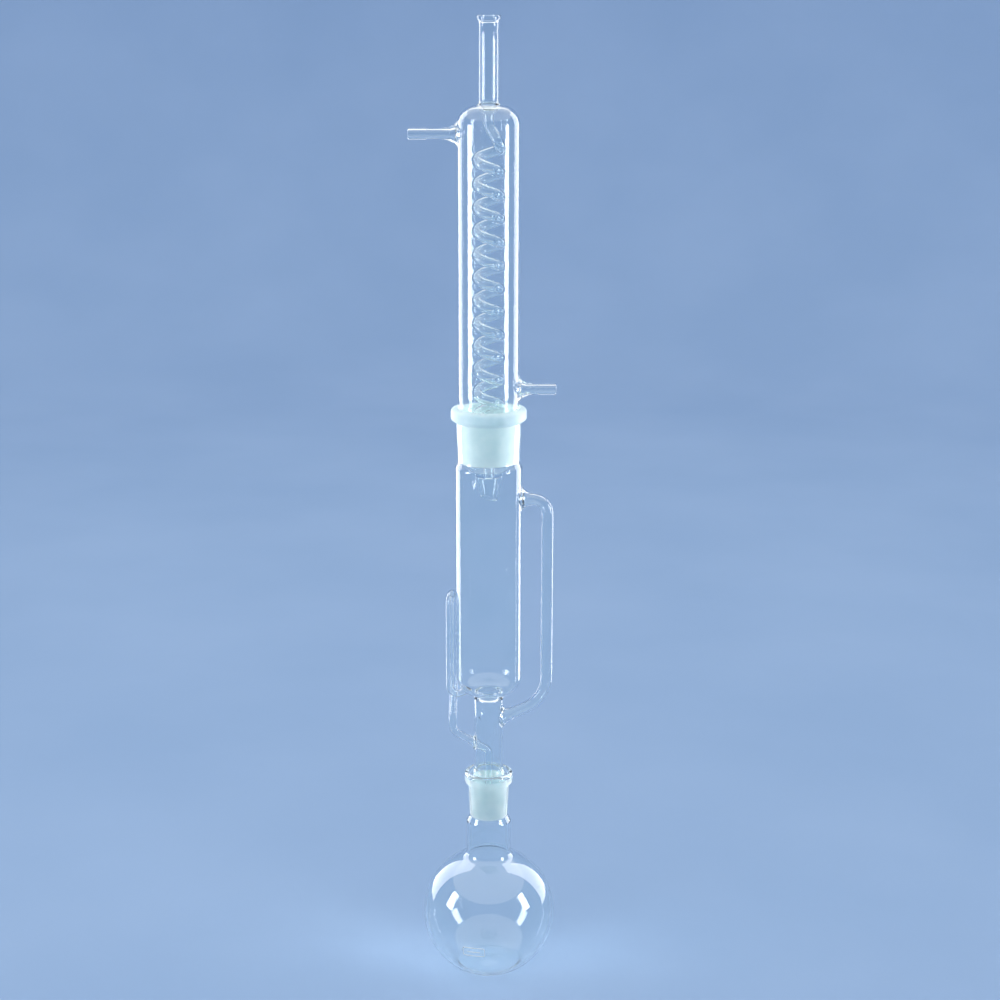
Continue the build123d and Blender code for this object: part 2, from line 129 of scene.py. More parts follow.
blown = {
    "depth": 0.035,
    "rounds": ((1.0, 2, 31, 0.0), (0.6, 3, -23, 1.3)),  # share, waves round, height per radian, start
    "rings": (0.5, 6.1, 0.4, 47),  # share, height per radian, start, height per radian of drift
    "fade": 4.0,  # radius at which the waves have half their depth
}


def handBlown(angle, height):
    # depth * sum of share * sin(waves * angle + height / length + start), with rings whose depth drifts
    # round the glass.
    total = 0
    for share, waves, length, start in blown["rounds"]:
        total = total + share * np.sin(waves * angle + height / length + start)
    share, length, start, drift = blown["rings"]
    rings = share * np.sin(height / length + start) * np.sin(height / drift + angle)
    return blown["depth"] * (total + rings)


def turned(points, steps):
    # (radius cos, radius sin, height) for each outline point and angle. The radius takes the hand-blown
    # waves, which fade towards the axis.
    angle = np.linspace(0, 2 * pi, steps, endpoint=False)[None, :]
    radius, height = points[:, :1], points[:, 1:2]
    radius = radius + handBlown(angle, height) * radius / (radius + blown["fade"])
    return np.stack([radius * np.cos(angle), radius * np.sin(angle), height + 0 * angle], axis=2)


def frames(path):
    # Tangents of a path, and two normals that are carried along it without twisting.
    tangent = unit(np.gradient(path, axis=0))
    first = np.array([0.0, 0, 1]) if abs(tangent[0][2]) < 0.9 else np.array([1.0, 0, 0])
    normals = [unit(first - tangent[0] * np.dot(first, tangent[0]))]
    for along in tangent[1:]:
        last = normals[-1]
        normals.append(unit(last - along * np.dot(last, along)))
    normal = np.array(normals)
    return tangent, normal, np.cross(tangent, normal)


def alongPath(at, along, line):
    # A line's x, y and z at distances along it, straight between its points.
    return np.stack([np.interp(at, along, line[:, k]) for k in range(3)], axis=1)


def carried(points, path, steps):
    # Each outline point (radius, distance along the path) goes round the path's own point there:
    # place + radius * (cos * first normal + sin * second normal).
    stepLengths = np.linalg.norm(np.diff(path, axis=0), axis=1)
    along = np.concatenate([[0], np.cumsum(stepLengths)])
    axes = frames(path)
    centre, tangent, normal, side = [alongPath(points[:, 1], along, line) for line in (path, *axes)]
    angle = np.linspace(0, 2 * pi, steps, endpoint=False)[None, :, None]
    ring = np.cos(angle) * unit(normal)[:, None] + np.sin(angle) * unit(side)[:, None]
    return centre[:, None] + points[:, :1, None] * ring, centre, tangent


bendPoints = 24


def roundedPath(corners, roundings, step=1.2):
    # Straight runs joined by tangent arcs, as even points about one step apart.
    corners = np.array(corners, float)
    found = [corners[:1]]
    for i in range(1, len(corners) - 1):
        found.append(roundCorner(corners[i - 1], corners[i], corners[i + 1], roundings[i - 1], bendPoints))
    line = np.concatenate([*found, corners[-1:]])
    return evened(line, step)


def evened(line, step):
    # The same line with its points a step apart.
    along = np.concatenate([[0], np.cumsum(np.linalg.norm(np.diff(line, axis=0), axis=1))])
    at = np.linspace(0, along[-1], int(along[-1] / step) + 2)
    return alongPath(at, along, line)


def pathLength(path):
    # Sum of the distances from each point to the next.
    return float(np.linalg.norm(np.diff(path, axis=0), axis=1).sum())


wallSearch = 12.0  # how far along the tube a wall is looked for, either way
halvings = 24


def ontoWall(grid, centre, tangent, share, wallRadius):
    # Slides points along the tube until they lie on a turned wall. The slide is found by halving: a point
    # is outside when its distance from the axis is more than the wall's radius at its own height. share
    # says how much of the slide each outline point takes.
    end = int(np.argmax(share))
    way = tangent[end]
    outward = np.dot(way[:2], centre[end, :2]) > 0
    low, high = np.full(grid.shape[:2], -wallSearch), np.full(grid.shape[:2], wallSearch)
    start = grid + centre[end] - centre[:, None]
    for _ in range(halvings):
        middle = (low + high) / 2
        place = start + middle[..., None] * way
        outside = np.hypot(place[..., 0], place[..., 1]) > wallRadius(place[..., 2])
        past = outside == outward
        low, high = np.where(past, low, middle), np.where(past, middle, high)
    return grid + (middle * share[:, None])[..., None] * way


# ---- Meshes ----

sharpAngle = 50  # degrees between two faces from which their edge is sharp
poleSize = 1e-6
samePlace = 1e-7  # metres
cutterSteps = 48
lookingBack = -0.2  # the most that a melted face's normal may run along the drill
meltReach = 3.0  # weld radii along the drill within which faces are melted


def gridMesh(name, grid, finishes):
    # A closed skin over a grid of rings: each ring joins the next, and the last joins the first, or the
    # skin starts and ends in a single point on the axis.
    rings, steps = grid.shape[:2]
    hasPoles = np.ptp(grid[0], axis=0).max() < poleSize
    vertices = grid.reshape(-1, 3) * mm
    i, j = np.meshgrid(np.arange(rings - hasPoles), np.arange(steps), indexing="ij")
    row, nextRow = i * steps, (i + 1) % rings * steps
    nextStep = (j + 1) % steps
    quads = np.stack([row + j, row + nextStep, nextRow + nextStep, nextRow + j], axis=-1).reshape(-1, 4)
    mesh = bpy.data.meshes.new(name)
    mesh.from_pydata(vertices.tolist(), [], quads.tolist())
    for material in glassFinishes:
        mesh.materials.append(material)
    faceFinish = np.repeat(finishes[: rings - hasPoles], steps)
    mesh.polygons.foreach_set("material_index", faceFinish.astype(np.int32))
    mesh.polygons.foreach_set("use_smooth", np.ones(len(quads), bool))
    if hasPoles:
        closePoles(mesh)
    mesh.set_sharp_from_angle(angle=radians(sharpAngle))
    mesh.validate()
    return mesh


def closePoles(mesh):
    # Joins the points that lie on the same place at a pole.
    work = bmesh.new()
    work.from_mesh(mesh)
    bmesh.ops.remove_doubles(work, verts=work.verts, dist=samePlace)
    work.to_mesh(mesh)
    work.free()


def addPiece(mesh, node):
    # Puts a finished mesh in the scene in place of a CAD piece, moving with that piece's body.
    piece = bpy.data.objects.new(mesh.name, mesh)
    bpy.context.scene.collection.objects.link(piece)
    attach(piece, bodyOf[node])
    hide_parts(node)
    return piece


def turnedPiece(node, outlined, steps):
    # A piece turned about the common axis, from its outline's points and finishes.
    points, finishes = outlined
    return addPiece(gridMesh(node + "_glass", turned(points, steps), finishes), node)


def drill(piece, start, end, radius, weldRadius):
    # Cuts a round hole from one point to another, and removes the cutter. Around the hole, out to the
    # weld's radius, the outer face is melted to the tube that ends on it.
    start, end = np.array(start, float), np.array(end, float)
    points = np.array([[0, 0], [radius, 0], [radius, 1], [0, 1]]) * [1, np.linalg.norm(end - start)]
    grid = carried(points, np.stack([start, end]), cutterSteps)[0]
    grid[0], grid[-1] = start, end
    cutter = bpy.data.objects.new("cutter", gridMesh("cutter", grid, np.full(len(grid), clear)))
    bpy.context.scene.collection.objects.link(cutter)
    cut = piece.modifiers.new("hole", "BOOLEAN")
    cut.object = cutter
    cut.solver = "EXACT"
    cut.material_mode = "INDEX"
    graph = bpy.context.evaluated_depsgraph_get()
    holed = bpy.data.meshes.new_from_object(piece.evaluated_get(graph))
    piece.modifiers.remove(cut)
    old, piece.data = piece.data, holed
    holed.name = old.name
    bpy.data.meshes.remove(old)
    bpy.data.meshes.remove(cutter.data)
    meltFaces(holed, start * mm, unit(end - start), weldRadius * mm)


def meltFaces(mesh, start, direction, radius):
    # Gives the seam finish to the faces that lie within a radius of a line, near its start, and look back
    # along it.
    count = len(mesh.polygons)
    centres, normals = np.empty(count * 3), np.empty(count * 3)
    finishes = np.empty(count, np.int32)
    mesh.polygons.foreach_get("center", centres)
    mesh.polygons.foreach_get("normal", normals)
    mesh.polygons.foreach_get("material_index", finishes)
    reach = centres.reshape(-1, 3) - start
    along = reach @ direction
    off = np.linalg.norm(reach - along[:, None] * direction, axis=1)
    facing = normals.reshape(-1, 3) @ direction < lookingBack
    finishes[(off < radius) & facing & (np.abs(along) < meltReach * radius)] = seam
    mesh.polygons.foreach_set("material_index", finishes)


# ---- Finishes ----

noiseRange = (0.3, 0.7)  # where noise mostly lies
rampRange = (0.35, 0.65)


def newMaterial(name):
    # A material with a Principled shader and Object coordinates, for the nodes that follow.
    material = bpy.data.materials.new(name)
    material.use_nodes = True
    nodes, links = material.node_tree.nodes, material.node_tree.links
    place = nodes.new("ShaderNodeTexCoord")
    return material, nodes, links, nodes["Principled BSDF"], place.outputs["Object"]


def noise(nodes, links, place, scale, detail=2.0):
    # Noise at a scale per metre.
    node = nodes.new("ShaderNodeTexNoise")
    node.inputs["Scale"].default_value = scale
    node.inputs["Detail"].default_value = detail
    links.new(place, node.inputs["Vector"])
    return node.outputs["Fac"]


def spread(nodes, links, source, low, high):
    # Maps noise from the range where it mostly lies to another.
    node = nodes.new("ShaderNodeMapRange")
    node.inputs["From Min"].default_value = noiseRange[0]
    node.inputs["From Max"].default_value = noiseRange[1]
    node.inputs["To Min"].default_value = low
    node.inputs["To Max"].default_value = high
    links.new(source, node.inputs["Value"])
    return node.outputs["Result"]


def twoColours(nodes, links, source, first, second):
    # Goes from one colour to the other as the noise rises.
    node = nodes.new("ShaderNodeValToRGB")
    for stop, position, colour in zip(node.color_ramp.elements, rampRange, (first, second)):
        stop.position = position
        stop.color = (*colour, 1)
    links.new(source, node.inputs["Fac"])
    return node.outputs["Color"]


def bumps(nodes, links, source, depth, strength, under=None):
    # Raises the surface where the noise is high, by a depth in millimetres.
    node = nodes.new("ShaderNodeBump")
    node.inputs["Distance"].default_value = depth * mm
    node.inputs["Strength"].default_value = strength
    links.new(source, node.inputs["Height"])
    if under:
        links.new(under, node.inputs["Normal"])
    return node.outputs["Normal"]


def letLightThrough(nodes, links, shader, share):
    # Rays from a surface to a light go straight on, dimmed a little, as they would through thin glass.
    rays = nodes.new("ShaderNodeLightPath")
    straight = nodes.new("ShaderNodeBsdfTransparent")
    straight.inputs["Color"].default_value = (*share, 1)
    mix = nodes.new("ShaderNodeMixShader")
    links.new(rays.outputs["Is Shadow Ray"], mix.inputs["Fac"])
    links.new(shader.outputs["BSDF"], mix.inputs[1])
    links.new(straight.outputs["BSDF"], mix.inputs[2])
    links.new(mix.outputs["Shader"], nodes["Material Output"].inputs["Surface"])


clearGlassLook = {
    "ior": 1.474,
    "passed": (0.96, 0.975, 0.98),  # light that goes straight on to what lies behind
    "tints": ((0.955, 0.985, 0.985), (0.985, 1.0, 0.998)),
    "tintScale": 25,
    "rippleScale": 90,
    "ripple": (0.05, 0.6),  # depth and strength
    "striaScale": 700,
    "stria": (0.004, 0.4),
    "roughness": (0.0, 0.03),
    "smudgeScale": 45,
}


def clearGlass(look):
    # Clear blown glass: long ripples and fine striae in its surface, and faint smudges in its gloss.
    material, nodes, links, shader, place = newMaterial("clearGlass")
    shader.inputs["Transmission Weight"].default_value = 1.0
    shader.inputs["IOR"].default_value = look["ior"]
    tint = noise(nodes, links, place, look["tintScale"])
    links.new(twoColours(nodes, links, tint, *look["tints"]), shader.inputs["Base Color"])
    smudge = noise(nodes, links, place, look["smudgeScale"], 5.0)
    links.new(spread(nodes, links, smudge, *look["roughness"]), shader.inputs["Roughness"])
    striae = bumps(nodes, links, noise(nodes, links, place, look["striaScale"]), *look["stria"])
    ripple = noise(nodes, links, place, look["rippleScale"])
    links.new(bumps(nodes, links, ripple, *look["ripple"], striae), shader.inputs["Normal"])
    letLightThrough(nodes, links, shader, look["passed"])
    return material


groundGlassLook = {
    "ior": 1.474,
    "passed": (0.75, 0.78, 0.79),
    "tints": ((0.74, 0.885, 0.895), (0.83, 0.945, 0.95)),
    "cloudScale": 140,
    "roughness": (0.42, 0.6),
    "grainScale": 5200,  # grains of about a fifth of a millimetre
    "grain": (0.02, 0.5),  # depth and strength
    "through": 0.55,  # the rest of the light is scattered back
}


def groundGlass(look):
    # Glass ground to a taper with fine grit: a dense grain that scatters the light, a little uneven in depth.
    material, nodes, links, shader, place = newMaterial("groundGlass")
    shader.inputs["Transmission Weight"].default_value = look["through"]
    shader.inputs["IOR"].default_value = look["ior"]
    cloud = noise(nodes, links, place, look["cloudScale"], 4.0)
    links.new(twoColours(nodes, links, cloud, *look["tints"]), shader.inputs["Base Color"])
    links.new(spread(nodes, links, cloud, *look["roughness"]), shader.inputs["Roughness"])
    grain = noise(nodes, links, place, look["grainScale"])
    links.new(bumps(nodes, links, grain, *look["grain"]), shader.inputs["Normal"])
    letLightThrough(nodes, links, shader, look["passed"])
    return material


def seamGlass():
    # Where two sealed pieces of glass are melted together, light goes straight on.
    material = bpy.data.materials.new("meltedSeam")
    material.use_nodes = True
    nodes, links = material.node_tree.nodes, material.node_tree.links
    nodes.remove(nodes["Principled BSDF"])
    through = nodes.new("ShaderNodeBsdfTransparent")
    links.new(through.outputs["BSDF"], nodes["Material Output"].inputs["Surface"])
    return material


glassFinishes = [clearGlass(clearGlassLook), groundGlass(groundGlassLook), seamGlass()]
print("finishes made")


# ---- Flask ----

taperPerLength = 0.05  # growth of a ground joint's radius per length

flask = {
    "baseRadius": 24.0,  # where the ball is cut by the table
    "baseRounding": 5.0,
    "kick": 0.5,  # how far the middle of the base stands off the table
    "floor": 3.0,
    "innerRounding": 11.0,  # larger than the base's own, so that the heel's glass is thick
    "wall": 1.8,
    "neckRadius": 17.0,
    "blend": 7.0,  # where the ball turns into the neck
    "steps": 176,
    "blendPoints": 14,
}


def ballRun(radius, floor, rounding, neck, blend, centre, rise):
    # From the axis along the floor, round the floor's edge and up the ball to where the neck's blend
    # starts. The edge's arc touches the floor and, from inside, the ball.
    edgeHeight = floor + rounding
    edgeRadius = sqrt((radius - rounding) ** 2 - (centre - edgeHeight) ** 2)
    edgeEnd = degrees(atan2(edgeHeight - centre, edgeRadius))
    seamAngle = degrees(atan2(rise, neck + blend))
    flat = np.linspace(0, edgeRadius, 9)[:-1]
    edge = arc((edgeRadius, edgeHeight), rounding, -90, edgeEnd, 10)
    ball = arc((0, centre), radius, edgeEnd, seamAngle, 90)[1:]
    return np.concatenate([np.stack([flat, floor + 0 * flat], axis=1), edge, ball])


def bulbAndNeck(sizes):
    # The ball is cut flat below. Its wall turns into the neck over an arc that touches both.
    radius, neck = halfWidth("flask_bulb"), sizes["neckRadius"]
    wall, blend = sizes["wall"], sizes["blend"]
    centre = sqrt(radius**2 - sizes["baseRadius"] ** 2)
    rise = sqrt((radius + blend) ** 2 - (neck + blend) ** 2)
    outer = ballRun(radius, 0, sizes["baseRounding"], neck, blend, centre, rise)
    flat = outer[:, 0] < sizes["baseRadius"] / 2
    outer[flat, 1] += sizes["kick"] * (1 - (2 * outer[flat, 0] / sizes["baseRadius"]) ** 2) ** 2
    inside = radius - wall, sizes["floor"], sizes["innerRounding"], neck - wall, blend + wall
    inner = ballRun(*inside, centre, rise)
    bulb = np.concatenate([outer, inner[::-1]])
    finishes = np.full(len(bulb), clear)
    finishes[len(outer) - 1] = seam
    turnedPiece("flask_bulb", (bulb, finishes), sizes["steps"])

    bend = 180 + degrees(atan2(rise, neck + blend))
    blendCentre = (neck + blend, centre + rise)
    outer = arc(blendCentre, blend, bend, 180, sizes["blendPoints"])
    inner = arc(blendCentre, blend + wall, 180, bend, sizes["blendPoints"])
    top = heights("flask_neck")[1]
    tube = np.concatenate([outer, [[neck, top], [neck - wall, top]], inner])
    finishes = np.full(len(tube), clear)
    finishes[[len(outer), len(tube) - 1]] = seam
    turnedPiece("flask_neck", cutRuns(tube, finishes, 3.0), sizes["steps"])


def socketOutline(sizes, low, rim):
    # A ground socket: from the tube below, over a shoulder, up the taper and round the rim's bead, then
    # down the ground inside.
    tube, tubeWall, wall = sizes["tube"], sizes["tubeWall"], sizes["wall"]
    bottom = low + sizes["shoulder"]
    top = bottom + sizes["length"]
    rimTop = top + sizes["rimAbove"]
    rimBottom = rimTop - sizes["rimHeight"]
    wide = sizes["wide"]
    narrow = wide - taperPerLength * sizes["length"]
    under = wide - taperPerLength * (top - rimBottom)
    corners = [
        (tube - tubeWall, low, 0, seam),
        (tube, low, 0, clear),
        (tube, low + sizes["start"], sizes["softness"], clear),
        (narrow + wall, bottom + sizes["reach"], 1.4 * sizes["softness"], clear),
        (under + wall - 0.3, rimBottom - 0.6, 1.0, sizes["rimFinish"]),
        (rim, rimBottom + 1.8, 2.4, sizes["rimFinish"]),
        (rim, rimTop - 1.2, 2.6, sizes["rimFinish"]),
        (wide + 1.6, rimTop, 1.2, sizes["rimFinish"]),
        (wide + 0.4, rimTop - 0.3, 0.4, sizes["rimFinish"]),
        (wide, top, 0, ground),
        (narrow, bottom, 0, clear),
        (tube - tubeWall, low + sizes["start"], 2, clear),
    ]
    return outline(corners, 2.0)


lowerSocket = {
    "tube": flask["neckRadius"],
    "tubeWall": flask["wall"],
    "shoulder": 5.0,
    "start": 0.9,
    "softness": 3.5,
    "reach": 0.5,
    "rimFinish": clear,
    "length": 32.0,
    "wide": 14.6,
    "wall": 1.7,
    "rimHeight": 10.5,
    "rimAbove": 5.0,
}

bulbAndNeck(flask)
socketPlace = heights("flask_socket")[0], halfWidth("flask_socket")
turnedPiece("flask_socket", socketOutline(lowerSocket, *socketPlace), flask["steps"])
print("flask made")


# ---- Enamel mark ----

mark = {
    "around": -13.5,  # degrees from the front towards the left
    "height": 33.0,
    "width": 17.0,
    "tall": 7.5,
    "corner": 1.6,
    "thick": 0.32,
    "sunk": 0.12,
    "rule": 10.0,
    "meet": 0.2,  # half the gap between the frame line's two ends
    "steps": 12,
    "colours": ((0.80, 0.83, 0.84), (0.93, 0.95, 0.95)),
    "patchScale": 900,
    "roughness": (0.3, 0.5),
    "grainScale": 3000,
    "grain": (0.02, 0.5),  # depth and strength
}


def enamel(look):
    # White enamel, unevenly laid, with a fine fired grain.
    material, nodes, links, shader, place = newMaterial("whiteEnamel")
    patch = noise(nodes, links, place, look["patchScale"], 3.0)
    links.new(twoColours(nodes, links, patch, *look["colours"]), shader.inputs["Base Color"])
    links.new(spread(nodes, links, patch, *look["roughness"]), shader.inputs["Roughness"])
    grain = noise(nodes, links, place, look["grainScale"])
    links.new(bumps(nodes, links, grain, *look["grain"]), shader.inputs["Normal"])
    return material


def addMark(sizes):
    # A blank writing frame with one rule in it, drawn flat and then wrapped on the ball: across becomes
    # an angle round the ball, and up becomes an angle up it.
    w, h, meet = sizes["width"] / 2, sizes["tall"] / 2, sizes["meet"]
    corners = [(meet, -h, 0), (w, -h, 0), (w, h, 0), (-w, h, 0), (-w, -h, 0), (-meet, -h, 0)]
    lines = {
        "mark_frame": roundedPath(corners, [sizes["corner"]] * 4, 0.4),
        "mark_rule": roundedPath([(-sizes["rule"] / 2, 0, 0), (sizes["rule"] / 2, 0, 0)], [], 0.5),
    }
    radius = halfWidth("flask_bulb")
    centre = sqrt(radius**2 - flask["baseRadius"] ** 2)
    material = enamel(sizes)
    for name, line in lines.items():
        up = np.arcsin((sizes["height"] - centre) / radius) + line[:, 1] / radius
        around = radians(sizes["around"] - 90) + line[:, 0] / (radius * np.cos(up))
        reach = radius + sizes["sunk"]
        ring = reach * np.cos(up)
        path = np.stack([ring * np.cos(around), ring * np.sin(around), centre + reach * np.sin(up)], axis=1)
        length, thick = pathLength(path), sizes["thick"]
        profile = [(0, 0, 0), (thick, 0, 0.1), (thick, length, 0.1), (0, length, 0)]
        points, finishes = outline([(*corner, clear) for corner in profile], 0.5, 3)
        mesh = gridMesh(name, carried(points, path, sizes["steps"])[0], finishes)
        mesh.materials.clear()
        mesh.materials.append(material)
        piece = bpy.data.objects.new(name, mesh)
        bpy.context.scene.collection.objects.link(piece)
        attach(piece, "flask")


addMark(mark)
print("mark made")


# ---- Extractor, turned pieces ----

extractor = {
    "clearance": 0.05,
    "coneWall": 1.6,
    "tubeWall": 1.5,
    "sealBore": 7.5,
    "sealBulge": 0.7,
    "sealFloor": 1.4,
    "chamberWall": 1.8,
    "chamberRounding": 15.0,
    "steps": 176,
}
upperSocket = {
    "tube": 25.0,
    "tubeWall": extractor["chamberWall"],
    "shoulder": 5.0,
    "start": 1.2,
    "softness": 3.5,
    "reach": 1.2,
    "rimFinish": ground,
    "length": 40.0,
    "wide": 22.5,
    "wall": 2.3,
    "rimHeight": 10.5,
    "rimAbove": 1.5,
}
tubeRadius = halfWidth("drip_tube")
chamberRadius = halfWidth("chamber")
chamberFloor, chamberTop = heights("chamber")


def lowerCone(sizes):
    # The ground cone, a rounded shoulder above it and the start of the drip tube.
    low, high = heights("lower_cone")
    coneTop = low + lowerSocket["length"]
    wide = lowerSocket["wide"] - sizes["clearance"]
    narrow = wide - taperPerLength * lowerSocket["length"]
    wall = sizes["coneWall"]
    inner = tubeRadius - sizes["tubeWall"]
    corners = [
        (narrow - wall, low, 0.5, clear),
        (narrow, low, 0.9, ground),
        (wide, coneTop, 0.4, clear),
        (wide - 0.3, coneTop + 1.6, 2, clear),
        (tubeRadius, high - 1.5, 3, clear),
        (tubeRadius, high, 0, seam),
        (inner, high, 0, clear),
        (inner, high - 2.5, 3, clear),
        (wide - wall, coneTop, 2, clear),
    ]
    return outline(corners, 2.0)


def plainTube(radius, wall, low, high):
    # A straight tube with melted seams at both ends.
    corners = [
        (radius - wall, low, 0, seam),
        (radius, low, 0, clear),
        (radius, high, 0, seam),
        (radius - wall, high, 0, clear),
    ]
    return outline(corners, 1.0)


def sealRing(sizes):
    # The thick ring between the drip tube's end and the chamber's bottom, swollen where it was melted.
    low, high = heights("chamber_seal")
    inner = tubeRadius - sizes["tubeWall"]
    corners = [
        (inner, low, 0, seam),
        (tubeRadius, low, 0, clear),
        (tubeRadius + sizes["sealBulge"], (low + high) / 2, 1.6, clear),
        (tubeRadius, high, 0, seam),
        (sizes["sealBore"], high, 0, clear),
        (sizes["sealBore"], low + sizes["sealFloor"], 1, clear),
    ]
    return outline(corners, 1.0)


def chamberOutline(sizes):
    # A closed round bottom and an upright wall, with the seal ring melted to the bottom.
    low, high = chamberFloor, chamberTop
    wall, rounding = sizes["chamberWall"], sizes["chamberRounding"]
    corners = [
        (0, low, 0, clear),
        (sizes["sealBore"], low, 0, seam),
        (chamberRadius - rounding, low, 0, clear),
        (chamberRadius, low, rounding - 0.01, clear),
        (chamberRadius, high, 0, seam),
        (chamberRadius - wall, high, 0, clear),
        (chamberRadius - wall, low + wall, rounding - wall, clear),
        (0, low + wall, 0, clear),
    ]
    return outline(corners, 1.4, 16)


turnedPiece("lower_cone", lowerCone(extractor), extractor["steps"])
tubeOutline = plainTube(tubeRadius, extractor["tubeWall"], *heights("drip_tube"))
dripTube = turnedPiece("drip_tube", tubeOutline, extractor["steps"])
turnedPiece("chamber_seal", sealRing(extractor), extractor["steps"])
chamber = turnedPiece("chamber", chamberOutline(extractor), extractor["steps"])
socketPlace = chamberTop, halfWidth("chamber_socket")
turnedPiece("chamber_socket", socketOutline(upperSocket, *socketPlace), extractor["steps"])
print("extractor's turned pieces made")


# ---- Extractor, side tubes ----

weldGap = 0.03  # between a side tube's end and the wall it is welded to
slideReach = 3.5  # tube radii from its end over which a tube is drawn out to meet the wall
drillReach = 4.0  # from a side tube's end, either way
flare = {
    "bore": 0.55,  # how much of the flare's growth its bore has
    "boreReach": 0.7,  # how much of the flare's length its bore widens over
    "middle": 0.3,  # share of the growth that is left at this share of the length
    "softness": 0.8,
}


def chamberWall(height):
    # The chamber's outside radius: upright, then a quarter circle in to its flat bottom.
    rounding = extractor["chamberRounding"]
    below = np.clip(chamberFloor + rounding - height, 0, rounding)
    return chamberRadius - rounding + np.sqrt(rounding**2 - below**2) + weldGap


def dripTubeWall(height):
    # The drip tube's outside radius, the same at every height.
    return tubeRadius + weldGap + 0 * height


def dripTubeInside(height):
    # The drip tube's inside radius, the same at every height.
    return tubeRadius - extractor["tubeWall"] - weldGap + 0 * height


def sideTube(node, path, sizes, firstWall, lastWall=None, steps=40):
    # A tube along a path. Each end widens to its weld by its flare (growth, length), and its last ring is
    # slid along the tube onto the turned wall there.
    length = pathLength(path)
    radius, bore = sizes["radius"], sizes["radius"] - sizes["wall"]
    (growth, reach), (farGrowth, farReach) = sizes["flares"]
    middle, softness, boreReach = flare["middle"], flare["softness"], flare["boreReach"]
    corners = [
        (bore + flare["bore"] * growth, 0, 0, seam),
        (radius + growth, 0, 0, clear),
        (radius + middle * growth, middle * reach, softness * reach, clear),
        (radius, reach, reach, clear),
        (radius, length - farReach, farReach, clear),
        (radius + middle * farGrowth, length - middle * farReach, softness * farReach, clear),
        (radius + farGrowth, length, 0, seam if lastWall else clear),
        (bore + flare["bore"] * farGrowth, length, 0, clear),
        (bore, length - boreReach * farReach, 0, clear),
        (bore, boreReach * reach, 0, clear),
    ]
    points, finishes = outline(corners, 1.6)
    grid, centre, tangent = carried(points, path, steps)
    for end, wallRadius in ((0, firstWall), (length, lastWall)):
        if wallRadius:
            share = np.clip(1 - np.abs(points[:, 1] - end) / (slideReach * radius), 0, 1) ** 2
            grid = ontoWall(grid, centre, tangent, share, wallRadius)
    return addPiece(gridMesh(node + "_glass", grid, finishes), node)


vapour = {
    "radius": 4.5,
    "wall": 1.1,
    "topDrop": 23.0,  # below the chamber's top
    "footRise": 41.0,  # above the drip tube's bottom
    "standOff": 19.0,
    "upperFall": 5.0,
    "lowerFall": 23.0,
    "bends": (11.0, 28.0),
    "flares": ((4.5, 9.0), (3.2, 8.0)),
}


def vapourPath(sizes):
    # Out of the chamber, down beside it and back in to the drip tube.
    reach = chamberRadius + sizes["standOff"]
    top = chamberTop - sizes["topDrop"]
    foot = heights("drip_tube")[0] + sizes["footRise"]
    corners = [
        (chamberRadius, 0, top),
        (reach, 0, top - sizes["standOff"] * tan(radians(sizes["upperFall"]))),
        (reach, 0, foot + (reach - tubeRadius) * tan(radians(sizes["lowerFall"]))),
        (tubeRadius, 0, foot),
    ]
    return roundedPath(corners, sizes["bends"])


siphon = {
    "radius": 3.0,
    "wall": 1.0,
    "gap": 1.5,  # between its uprights and the chamber
    "outletRise": -3.5,  # of the riser's foot above the chamber's bottom
    "outletClimb": 9.5,  # from the riser's foot back up to where the chamber's round corner starts
    "outletReach": 18.0,  # from the axis to where it leaves the chamber
    "rise": 78.0,  # of its top above the chamber's bottom
    "riserTurn": -4.0,  # degrees round from the left towards the back
    "fallTurn": 26.0,
    "topBendShare": 0.99,  # of half the gap between the uprights
    "outletBend": 6.0,
    "entryRise": 20.0,
    "entryRun": 16.6,
    "entryFall": 30.0,
    "leanTop": 10.0,
    "leanBottom": 18.0,
    "leanBend": 15.0,
    "entryBend": 9.0,
    "flares": ((0.6, 4.0), (2.0, 6.0)),
}
spout = {"radius": 3.0, "wall": 1.0, "bend": 5.0, "flares": ((1.4, 3.5), (0.0, 1.0))}


def siphonPath(sizes):
    # Out of the chamber's bottom, up its side, over, down, and in to the drip tube.
    low = chamberFloor + sizes["outletRise"]
    high = chamberFloor + sizes["rise"]
    reach = chamberRadius + sizes["gap"] + sizes["radius"]
    riserTurn, fallTurn = radians(sizes["riserTurn"]), radians(sizes["fallTurn"])
    riser = (-reach * cos(riserTurn), reach * sin(riserTurn))
    fall = (-reach * cos(fallTurn), reach * sin(fallTurn))
    topBend = sizes["topBendShare"] * reach * sin((fallTurn - riserTurn) / 2)
    drop = tan(radians(sizes["entryFall"]))
    entry = heights("drip_tube")[0] + sizes["entryRise"]
    stand = tubeRadius + sizes["entryRun"]
    wallShare = (reach - sizes["outletReach"]) / (reach + extractor["chamberRounding"] - chamberRadius)
    corners = [
        (-sizes["outletReach"], riser[1] * (1 - wallShare), low + sizes["outletClimb"] * wallShare),
        (*riser, low),
        (*riser, high),
        (*fall, high),
        (*fall, chamberFloor + sizes["leanTop"]),
        (-stand, 0, chamberFloor - sizes["leanBottom"]),
        (-stand, 0, entry + sizes["entryRun"] * drop),
        (-tubeRadius, 0, entry),
    ]
    outlet, lean, entryBend = sizes["outletBend"], sizes["leanBend"], sizes["entryBend"]
    return roundedPath(corners, (outlet, topBend, topBend, lean, lean, entryBend), 0.9)


def spoutPath(sizes):
    # From the drip tube's inner wall, on down to the axis and straight down into the cone.
    drop = tan(radians(siphon["entryFall"]))
    entry = heights("drip_tube")[0] + siphon["entryRise"]
    wall = extractor["tubeWall"]
    corners = [
        (wall - tubeRadius, 0, entry - wall * drop),
        (0, 0, entry - tubeRadius * drop),
        (0, 0, heights("siphon_spout")[0]),
    ]
    return roundedPath(corners, (sizes["bend"],), 0.8)


